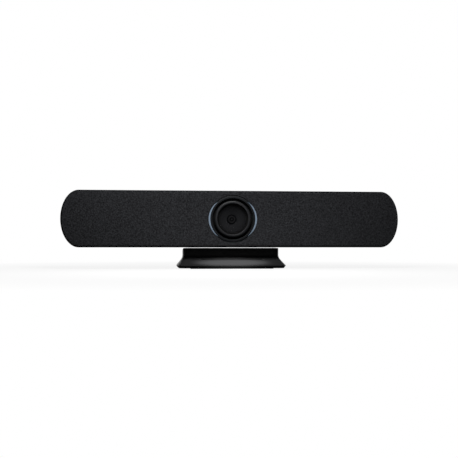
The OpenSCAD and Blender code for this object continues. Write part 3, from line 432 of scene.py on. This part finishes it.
# The finish of each slot in the record. Only matt_cone is not a slot: it is the baffle's
# own look, and the baffle's slot is inner_plastic.
FINISH = {
    "housing": moulded("housing_black", (0.020, 0.020, 0.023), 0.42, 0.00003, 2600, 0.45),
    "bezel_gloss": moulded("bezel_gloss_black", (0.005, 0.006, 0.008), 0.34, grain=0,
                           specular=0.12),
    "fabric": acoustic_cloth(),
    "inner_plastic": moulded("inner_black", (0.0100, 0.0100, 0.0107), 0.6),
    "matt_cone": moulded("cone_matt_black", (0.0122, 0.0122, 0.0131), 0.8, specular=0.0),
    "frame_metal": metal("cast_frame", (0.6, 0.61, 0.63), 0.5),
    # ring_gloss: painted shade, black in its groove from 28 to 30 mm.
    "ring_gloss": painted_shade_and_highlight("lens_ring_black", (0.0060, 0.0070, 0.0085), 0.55, 0.15,
                          ((28.0, 30.0, 1.2),)),
    # hood: painted shade, black in its two grooves, and a painted highlight, paler from 21.5 to
    # 24.2 mm on its rim.
    "hood": painted_shade_and_highlight("lens_hood_black", (0.0076, 0.0080, 0.0090), 0.42, 0.25,
                    ((25.7, 40.0, 1.7), (18.0, 22.2, 0.9)),
                    edge=(21.5, 24.2, 1.9)),
    "window": clear_glass("window_glass", (0.004, 0.0045, 0.0055), 0.12),
    "light_guide": glowing_guide(),
    "board": circuit_board(),
    # barrel: painted shade, black over the nose's step and chamfer from 5.1 to 7.3 mm at every
    # depth.
    "barrel": painted_shade_and_highlight("barrel_black", (0.0105, 0.0100, 0.0103), 0.7, 0.0, ((5.1, 7.3, -40),)),
    "lens_glass": lens_painted_highlight(),
    "chip": moulded("chip_black", (0.015, 0.015, 0.017), 0.5),
    "ribbon": moulded("ribbon_amber", (0.42, 0.19, 0.03), 0.35, grain=0),
    "basket_metal": moulded("basket_black", (0.05, 0.05, 0.052), 0.45),
    "magnet": moulded("ferrite", (0.12, 0.12, 0.125), 0.55, 0.00004, 1200),
    "cone_paper": paper_cone(),
    "rubber": moulded("rubber_black", (0.012, 0.012, 0.012), 0.8, 0.00004, 1800, 0.3),
    "gold_plated": metal("gold_plate", (0.75, 0.55, 0.25), 0.28),
    "tin_plated": metal("tin_plate", (0.6, 0.61, 0.63), 0.32, 0.1),
    "pad_grey": moulded("heat_pad", (0.3, 0.34, 0.4), 0.8),
    "heat_sink": metal("sink_aluminium", (0.5, 0.51, 0.53), 0.4, 0.15),
    "jack_plastic": moulded("jack_black", (0.012, 0.012, 0.012), 0.5),
    "button": moulded("button_grey", (0.05, 0.05, 0.055), 0.4),
    "steel": metal("zinc_steel", (0.55, 0.56, 0.58), 0.34, 0.1),
    "polished_steel": metal("polished_steel", (0.93, 0.94, 0.95), 0.05),
    "washer": moulded("friction_liner", (0.35, 0.28, 0.16), 0.7),
    "stand_black": moulded("stand_satin_black", (0.0195, 0.0195, 0.020), 0.42, 0.00002, 2200, 0.3),
    "ballast": moulded("ballast_black", (0.03, 0.03, 0.032), 0.5),
}


def quarter_turn(steps):
    """Angles from 0 to 90 degrees, in radians."""
    return [math.pi / 2 * k / steps for k in range(steps + 1)]


def full_turn(steps):
    """Angles all the way round, each in the middle of its step, in radians."""
    return [2 * math.pi * (k + 0.5) / steps for k in range(steps)]


def arc(centre, radius, start, stop, steps):
    """Points of an arc in a profile, angles in degrees."""
    return [(centre[0] + radius * math.cos(math.radians(a)),
             centre[1] + radius * math.sin(math.radians(a)))
            for a in (start + (stop - start) * k / steps for k in range(steps + 1))]


def pill_outline(inset, depth):
    """Points round the bar's outline: straight edges and elliptical ends."""
    half_w, half_h = BAR_W / 2, BAR_H / 2
    return [((END_W - inset) * math.cos(a) + math.copysign(half_w - END_W, math.cos(a)),
             depth, (half_h - inset) * math.sin(a)) for a in full_turn(RIM_STEPS)]


def guide_reach(angle, grow=0.0):
    """How far out the crescent's outer edge lies in one direction from the lens's axis."""
    side = abs(math.sin(angle)) * GUIDE_OUT_X
    radius = GUIDE_OUT_R + grow
    if side > radius:
        return 0
    return abs(math.cos(angle)) * GUIDE_OUT_X + math.sqrt(radius ** 2 - side ** 2)


def hole_outline(depth, grow=0.0):
    """Points round the cloth's opening: a circle, let out at each side for the light guides."""
    points = []
    for a in full_turn(RIM_STEPS):
        reach = max(HOLE_R, guide_reach(a, GUIDE_GAP)) + grow
        points.append((reach * math.cos(a), depth, reach * math.sin(a)))
    return points


def guide_outline(inset, depth):
    """Points round one crescent, drawn in by a small inset but never past its middle."""
    inner, outer = [], []
    for k in range(GUIDE_STEPS + 1):
        a = math.radians(GUIDE_ANGLE) * (2 * k / GUIDE_STEPS - 1)
        reach = max(guide_reach(a), GUIDE_R + GUIDE_TIP)
        cut = min(inset, 0.45 * (reach - GUIDE_R))
        for row, r in ((inner, GUIDE_R + cut), (outer, reach - cut)):
            row.append((r * math.cos(a), depth, r * math.sin(a)))
    return inner + outer[::-1]


def plan_outline(out, z, inset=0.0):
    """Points round the stand's plan: the neck's outline, let out by a share of the flare.

    The height z is a number, or a function of the depth.
    """
    corner = max(NECK_CORNER + (FOOT_CORNER - NECK_CORNER) * out - inset, LEAST_CORNER)
    half_x = NECK_W / 2 + SIDE_FLARE * out - inset
    near = NECK_AT - FRONT_FLARE * out + inset
    far = NECK_AT + NECK_D + BACK_FLARE * out - inset
    points = []
    for a in full_turn(PLAN_STEPS):
        x, y = corner * math.cos(a), corner * math.sin(a)
        x += math.copysign(half_x - corner, x)
        y += near + corner if y < 0 else far - corner
        points.append((x, y, z(y) if callable(z) else z))
    return points


def skinned(bm, outlines, closed=False):
    """Draws a loop, then extrudes it from one outline to the next."""
    count = len(outlines[0])
    ring = bmesh.ops.create_circle(bm, cap_ends=False, segments=count, radius=1)["verts"]
    edges = list({e for v in ring for e in v.link_edges})
    for v, point in zip(ring, outlines[0]):
        v.co = point
    for outline in outlines[1:] + ([outlines[0]] if closed else []):
        made = bmesh.ops.extrude_edge_only(bm, edges=edges)["geom"]
        fresh = {g for g in made if isinstance(g, bmesh.types.BMVert)}
        ring = [next(e.other_vert(v) for e in v.link_edges if e.other_vert(v) in fresh)
                for v in ring]
        edges = [g for g in made if isinstance(g, bmesh.types.BMEdge)
                 and g.verts[0] in fresh and g.verts[1] in fresh]
        for v, point in zip(ring, outline):
            v.co = point


def outward(bm):
    """Merges points that meet and turns the faces outwards."""
    bmesh.ops.remove_doubles(bm, verts=bm.verts, dist=MERGE)
    bmesh.ops.recalc_face_normals(bm, faces=bm.faces)


def softened(bm, width, angle):
    """Rounds every edge that turns by more than the angle, in degrees."""
    sharp = [e for e in bm.edges if len(e.link_faces) == 2
             and e.calc_face_angle(0) > math.radians(angle)]
    bmesh.ops.bevel(bm, geom=sharp, offset=width, offset_type="OFFSET", segments=2,
                    profile=0.5, affect="EDGES", material=-1, clamp_overlap=True)


def turned(profile, closed=True):
    """A piece turned about the lens's axis, from (radius, depth) points."""
    bm = bmesh.new()
    points = [bm.verts.new((r, depth, 0)) for r, depth in profile]
    chain = list(zip(points, points[1:])) + ([(points[-1], points[0])] if closed else [])
    edges = [bm.edges.new(pair) for pair in chain]
    bmesh.ops.spin(bm, geom=points + edges, cent=(0, 0, 0), axis=(0, 1, 0), dvec=(0, 0, 0),
                   angle=2 * math.pi, steps=TURN_STEPS, use_merge=True)
    outward(bm)
    return bm


def piece(name, bm, slot, body="bar", stands_for=(), where=IN_BAR, smooth=35, look=None):
    """Ends a mesh: puts it in place, gives it its finish and ties it to its body."""
    bm.transform(where)
    mesh = bpy.data.meshes.new(name)
    bm.to_mesh(mesh)
    bm.free()
    mesh.shade_smooth()
    mesh.set_sharp_from_angle(angle=math.radians(smooth))
    mesh.materials.append(FINISH[look or slot])
    made = in_scene(name, mesh)
    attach(made, body)
    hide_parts(*stands_for)
    return made


def front_cloth():
    """Acoustic cloth, stretched over the grille, turned in at the rim and at the lens."""
    bm = bmesh.new()
    gap, edge_r, back = 2.15, 0.5, 7.0
    outlines = [pill_outline(gap, back)]
    outlines += [pill_outline(gap + edge_r * (1 - math.cos(a)), edge_r * (1 - math.sin(a)))
                 for a in quarter_turn(8)]
    outlines += [hole_outline(0.0, 0.35), hole_outline(0.12, 0.1), hole_outline(0.8)]
    skinned(bm, outlines)
    outward(bm)
    made = piece("front_cloth", bm, "fabric", stands_for=("grille_fabric",), smooth=60)
    wall = made.modifiers.new("thickness", "SOLIDIFY")
    wall.thickness, wall.offset = 0.0006, -1


def front_bezel():
    """Thin gloss rim round the cloth."""
    bm = bmesh.new()
    outer_r, front = 1.2, 2.7
    land, inner_r, inner_from = 1.7, 0.3, 3.0
    lip, shelf, leg, back = 2.0, 7.0, 6.0, 9.0
    outlines = [pill_outline(0, back)]
    outlines += [pill_outline(outer_r * (1 - math.cos(a)), front + outer_r * (1 - math.sin(a)))
                 for a in quarter_turn(5)]
    outlines += [pill_outline(land + inner_r * math.sin(a), inner_from - inner_r * math.cos(a))
                 for a in quarter_turn(3)]
    outlines += [pill_outline(lip, shelf), pill_outline(leg, shelf), pill_outline(leg, back)]
    skinned(bm, outlines, closed=True)
    outward(bm)
    piece("front_bezel_gloss", bm, "bezel_gloss", stands_for=("front_bezel",), smooth=40)


def lens_ring():
    """Ring round the groove, its face falling gently away from the lens.

    Beside each light guide it is drawn in to leave the guide's gap.
    """
    profile = [(29.1, 8.0), (29.1, 1.3)] + arc((29.5, 1.3), 0.4, 180, 270, 4)[1:]
    profile += [(30.4, 0.75), (31.6, 0.85)] + arc((32.4, 1.5), 0.5, 270, 360, 4) + [(32.9, 8.0)]
    bm = turned(profile)
    inner = GUIDE_R - GUIDE_GAP
    for v in bm.verts:
        angle = math.atan2(v.co.z, v.co.x)
        reach = math.hypot(v.co.x, v.co.z)
        if guide_reach(angle) > GUIDE_R and reach > inner:
            v.co.x, v.co.z = inner * math.cos(angle), inner * math.sin(angle)
    bmesh.ops.recalc_face_normals(bm, faces=bm.faces)
    piece("lens_ring", bm, "ring_gloss", stands_for=("lens_bezel_ring",))


def lens_hood():
    """Hood with a rolled rim, a flat face, a stepped throat and a seat for the window."""
    lip = [(26.0, 7.0)] + arc((24.2, 2.1), 1.8, 0, -90, 8)
    funnel = [(23.2, 0.2), (22.5, 0.3), (22.1, 0.6)]
    steps = [(22.05, 2.0), (21.9, 2.1), (21.85, 3.6)]
    throat = [(21.75, 5.2), (21.3, 5.5), (21.0, 5.6), (20.9, 5.6)]
    seat = [(20.9, 7.1), (19.1, 7.1), (19.1, 9.2)]
    foot = [(28.8, 9.2), (28.8, 7.0)]
    bm = turned(lip + funnel + steps + throat + seat + foot)
    softened(bm, 0.12, 20)
    piece("lens_hood_stepped", bm, "hood", stands_for=("lens_hood",))


def lens_window():
    """Flat glass with a bevelled rim. Points close to the rim keep its shading flat."""
    front, back = 5.75, 7.1
    profile = [(0, front), (19.3, front), (19.6, front), (20.0, 5.9), (20.45, 6.3), (20.45, back),
               (20.1, back), (0, back)]
    piece("lens_window_glass", turned(profile, closed=False), "window", stands_for=("lens_window",))


def inner_cone():
    """Ribbed baffle behind the window: it draws the eye down to the barrel."""
    throat_r, throat_depth = 7.2, 16.0
    run_out, climb, ribs = 10.9, 6.8, 9
    profile = [(21.9, 9.2), (21.9, 10.2), (19.1, 10.2), (8.2, 17.0), (throat_r, 17.0),
               (throat_r, throat_depth)]
    for k in range(ribs):
        t = k / ribs
        r, depth = throat_r + run_out * t, throat_depth - climb * t
        profile += [(r + 0.25, depth), (r + 1.0, depth - 0.55)]
    profile += [(18.1, 9.2)]
    piece("inner_cone", turned(profile), "inner_plastic", stands_for=("lens_baffle",), smooth=30,
          look="matt_cone")


def barrel_and_lens():
    """Lens barrel with a stepped nose, and the small domed front element in it."""
    back = 30.7
    nose = [(3.4, back), (3.4, 17.0), (4.35, 17.0), (4.35, 15.9), (4.6, 15.6), (5.3, 15.55),
            (5.5, 15.9), (5.9, 15.9), (6.1, 15.55), (6.4, 15.55), (6.9, 16.2), (6.9, back)]
    bm = turned(nose)
    softened(bm, 0.08, 25)
    piece("lens_barrel_stepped", bm, "barrel", stands_for=("lens_barrel",), smooth=30)
    rise, radius, steps = 1.0, 4.2, 10
    dome_front, dome_back = 14.9, 17.0
    ball = (radius ** 2 + rise ** 2) / (2 * rise)
    dome = [(0, dome_front)]
    for k in range(1, steps + 1):
        a = math.asin(radius / ball) * k / steps
        dome.append((ball * math.sin(a), dome_front + ball * (1 - math.cos(a))))
    dome += [(radius, dome_back), (0, dome_back)]
    piece("front_element", turned(dome, closed=False), "lens_glass", stands_for=("front_lens",))


def light_guides():
    """Two crescents of milky plastic, rounded at their front edges."""
    levels = ((0.0, 7.0), (0.0, 0.62), (0.06, 0.45), (0.17, 0.34), (0.3, 0.3))
    for side, name in ((1, "right"), (-1, "left")):
        bm = bmesh.new()
        skinned(bm, [guide_outline(inset, depth) for inset, depth in levels])
        open_edges = [e for e in bm.edges if e.is_boundary]
        bmesh.ops.holes_fill(bm, edges=open_edges, sides=0)
        if side < 0:
            bmesh.ops.rotate(bm, verts=bm.verts, cent=(0, 0, 0),
                             matrix=Matrix.Rotation(math.pi, 3, "Y"))
        outward(bm)
        piece(f"light_guide_{name}_crescent", bm, "light_guide",
              stands_for=(f"light_guide_{name}",))


def apron_z(out):
    """Height of the apron's slope, where out is 0 at the neck and 1 at the lip."""
    return APRON_Z - (APRON_Z - LIP_Z) * out


def neck_top_at(y):
    """The neck's rim falls towards the back, so that the bar can tilt."""
    start = NECK_AT + WALL
    fall = (NECK_Z - NECK_BACK_Z) / (NECK_D - WALL + 1)
    return NECK_Z - max(0.0, y - start) * fall


def stand_moulding():
    """Lip, sloped apron with its crease, concave blend and open neck in one skin."""
    bm = bmesh.new()
    # Each level of the outside is (share of the flare, height, inset), from the sole up.
    levels = [(1.0, SOLE_Z, LIP_UNDER + 0.3), (1.0, 1.0, LIP_UNDER - 0.1),
              (1.0, LIP_Z - 0.6, 0.3), (1.0, LIP_Z - 0.3, 0.08), (1.0, LIP_Z, 0.0),
              (0.985, LIP_Z + 0.2, 0.0)]
    crease_out = (APRON_Z - CREASE_Z) / (APRON_Z - LIP_Z)
    slope = [0.9, 0.7, 0.5] + [crease_out + d for d in (0.10, 0.06, 0.045)] + [crease_out]
    levels += [(out, apron_z(out), 0.0) for out in slope]
    blend_low = apron_z(BLEND_SHARE)
    for k in range(2, BLEND_STEPS + 1):
        t = k / BLEND_STEPS
        z = (blend_low * (1 - t) ** 2 + APRON_Z * 2 * t * (1 - t) + (APRON_Z + BLEND_RISE) * t * t)
        levels.append((BLEND_SHARE * (1 - t) ** 2, z, 0.0))
    outlines = [plan_outline(out, z, inset) for out, z, inset in levels]
    for rise, inset in ((-0.25, 0.0), (-0.07, 0.07), (0.0, 0.25), (0.0, WALL - 0.3), (-0.3, WALL)):
        outlines.append(plan_outline(0.0, lambda y: neck_top_at(y) + rise, inset))
    outlines += [plan_outline(0.0, 14.0, WALL), plan_outline(0.9, LIP_Z, WALL),
                 plan_outline(1.0, LIP_Z - 0.5, LIP_UNDER + WALL),
                 plan_outline(1.0, SOLE_Z, LIP_UNDER + WALL)]
    skinned(bm, outlines, closed=True)
    long = [e for e in bm.edges if abs(e.verts[0].co.x - e.verts[1].co.x) > NECK_W / 2]
    bmesh.ops.subdivide_edges(bm, edges=long, cuts=CREASE_CUTS, use_grid_fill=True)
    for v in bm.verts:
        if abs(v.co.z - CREASE_Z) < 0.01 and v.co.y < NECK_AT:
            to_its_end = (CREASE_HALF + CREASE_PAST - abs(v.co.x)) / CREASE_FADE
            fade = min(max(to_its_end, 0), 1)
            v.co.y += CREASE_DEEP * fade
            v.co.z -= CREASE_DIP * fade
    outward(bm)
    piece("stand_moulding", bm, "stand_black", "stand", ("stand_shell",), IN_STAND, smooth=50)


def dress_kept_nodes():
    """Gives every CAD node the finish of its slot."""
    for row in frame["record"]["subparts"]:
        node = frame["nodes"][row["node"]]
        node.data.materials.clear()
        node.data.materials.append(FINISH[row["material_slot"]])


def pale_floor():
    """Pale floor that stays white to the eye and keeps the object's shadow."""
    bm = bmesh.new()
    bmesh.ops.create_grid(bm, x_segments=1, y_segments=1, size=40)
    mesh = bpy.data.meshes.new("floor")
    bm.to_mesh(mesh)
    bm.free()
    floor = in_scene("floor", mesh)
    f = Finish("floor_white", Roughness=0.9, Specular_IOR_Level=0.1)
    camera, glossy, through = f.looked_at_by("Camera", "Glossy", "Transmission")
    place = f.place()
    x, y, _ = f.parts(place)
    away = f.maths("SQRT", x * x + y * y)
    grain = f.noise(place, 3, 2)
    eye = f.clamp(camera + through, 0, 1)
    lamp_grey, eye_white, mottle = 0.04, 0.9, 0.01
    level = lamp_grey + eye_white * eye + mottle * grain
    f.set(Base_Color=f.node("ShaderNodeCombineColor", None, {0: level, 1: level, 2: level}))
    glow = f.node("ShaderNodeEmission", None, {"Color": rgb(1, 1, 1), "Strength": 1.0})
    shadow_reach, shadow_share, mirror_share = 0.35, 0.15, 0.95
    near = f.clamp(1.8 - away / shadow_reach, 0, 1)
    behind = f.clamp(y * 8 - 0.4, 0, 1)
    far = f.clamp(away / 2 - 1, 0, 1)
    share = eye * (1 - shadow_share * near) + mirror_share * glossy * f.clamp(behind + far, 0, 1)
    mixed = f.node("ShaderNodeMixShader", None,
                   {0: f.clamp(share, 0, 1), 1: Value(f, f.surface.outputs[0]), 2: glow})
    f.feed(f.output.inputs["Surface"], mixed)
    mesh.materials.append(f.material)


def white_surroundings():
    """White behind the object for the eye and for mirrors, and a dim even light otherwise."""
    world = bpy.data.worlds.new("studio")
    bpy.context.scene.world = world
    world.use_nodes = True
    sky = world.node_tree.nodes["Background"]
    f = Shading(world.node_tree)
    camera, glossy, through = f.looked_at_by("Camera", "Glossy", "Transmission")
    _, back, up = f.parts(f.node("ShaderNodeTexCoord", out="Generated"))
    behind = f.clamp(0.5 + back * 1.6, 0.0, 1.0)
    level = f.clamp(up * up * -6000 + 1, 0, 1)
    seen = f.clamp(camera + through + glossy * f.clamp(behind + level, 0.02, 1), 0, 1)
    dim = 0.035
    f.feed(sky.inputs["Color"], rgb(1, 1, 1))
    f.feed(sky.inputs["Strength"], dim + (1 - dim) * seen)


def studio_lights():
    """A key above, a strip on the apron, a fill in the lens, and three boxes round the bar."""
    front = (0, -0.033, 0.07)
    soft_box("key_above", (-0.035, -0.31, 0.325), front, 0.22, 0.10, 1.75)
    long_spot("apron_strip", (0, -0.37, 0.21), (0, -0.0240, 0.0088), 0.062, 0.0102, 30)
    long_spot("lens_fill", (0, -0.6, 0.12), (0, -0.028, 0.0705), 0.023, 0.023, 10)
    soft_box("left_side", (-1.3, 0.1, 0.5), front, 0.5, 0.7, 3)
    soft_box("right_side", (1.3, 0.1, 0.5), front, 0.5, 0.7, 3)
    soft_box("top_back", (0, 0.5, 0.9), front, 0.9, 0.4, 1.6)


dress_kept_nodes()
front_cloth()
front_bezel()
lens_ring()
lens_hood()
lens_window()
inner_cone()
barrel_and_lens()
light_guides()
stand_moulding()

bpy.context.scene.view_settings.view_transform = "Standard"
camera_at_the_photo()
white_surroundings()
pale_floor()
studio_lights()
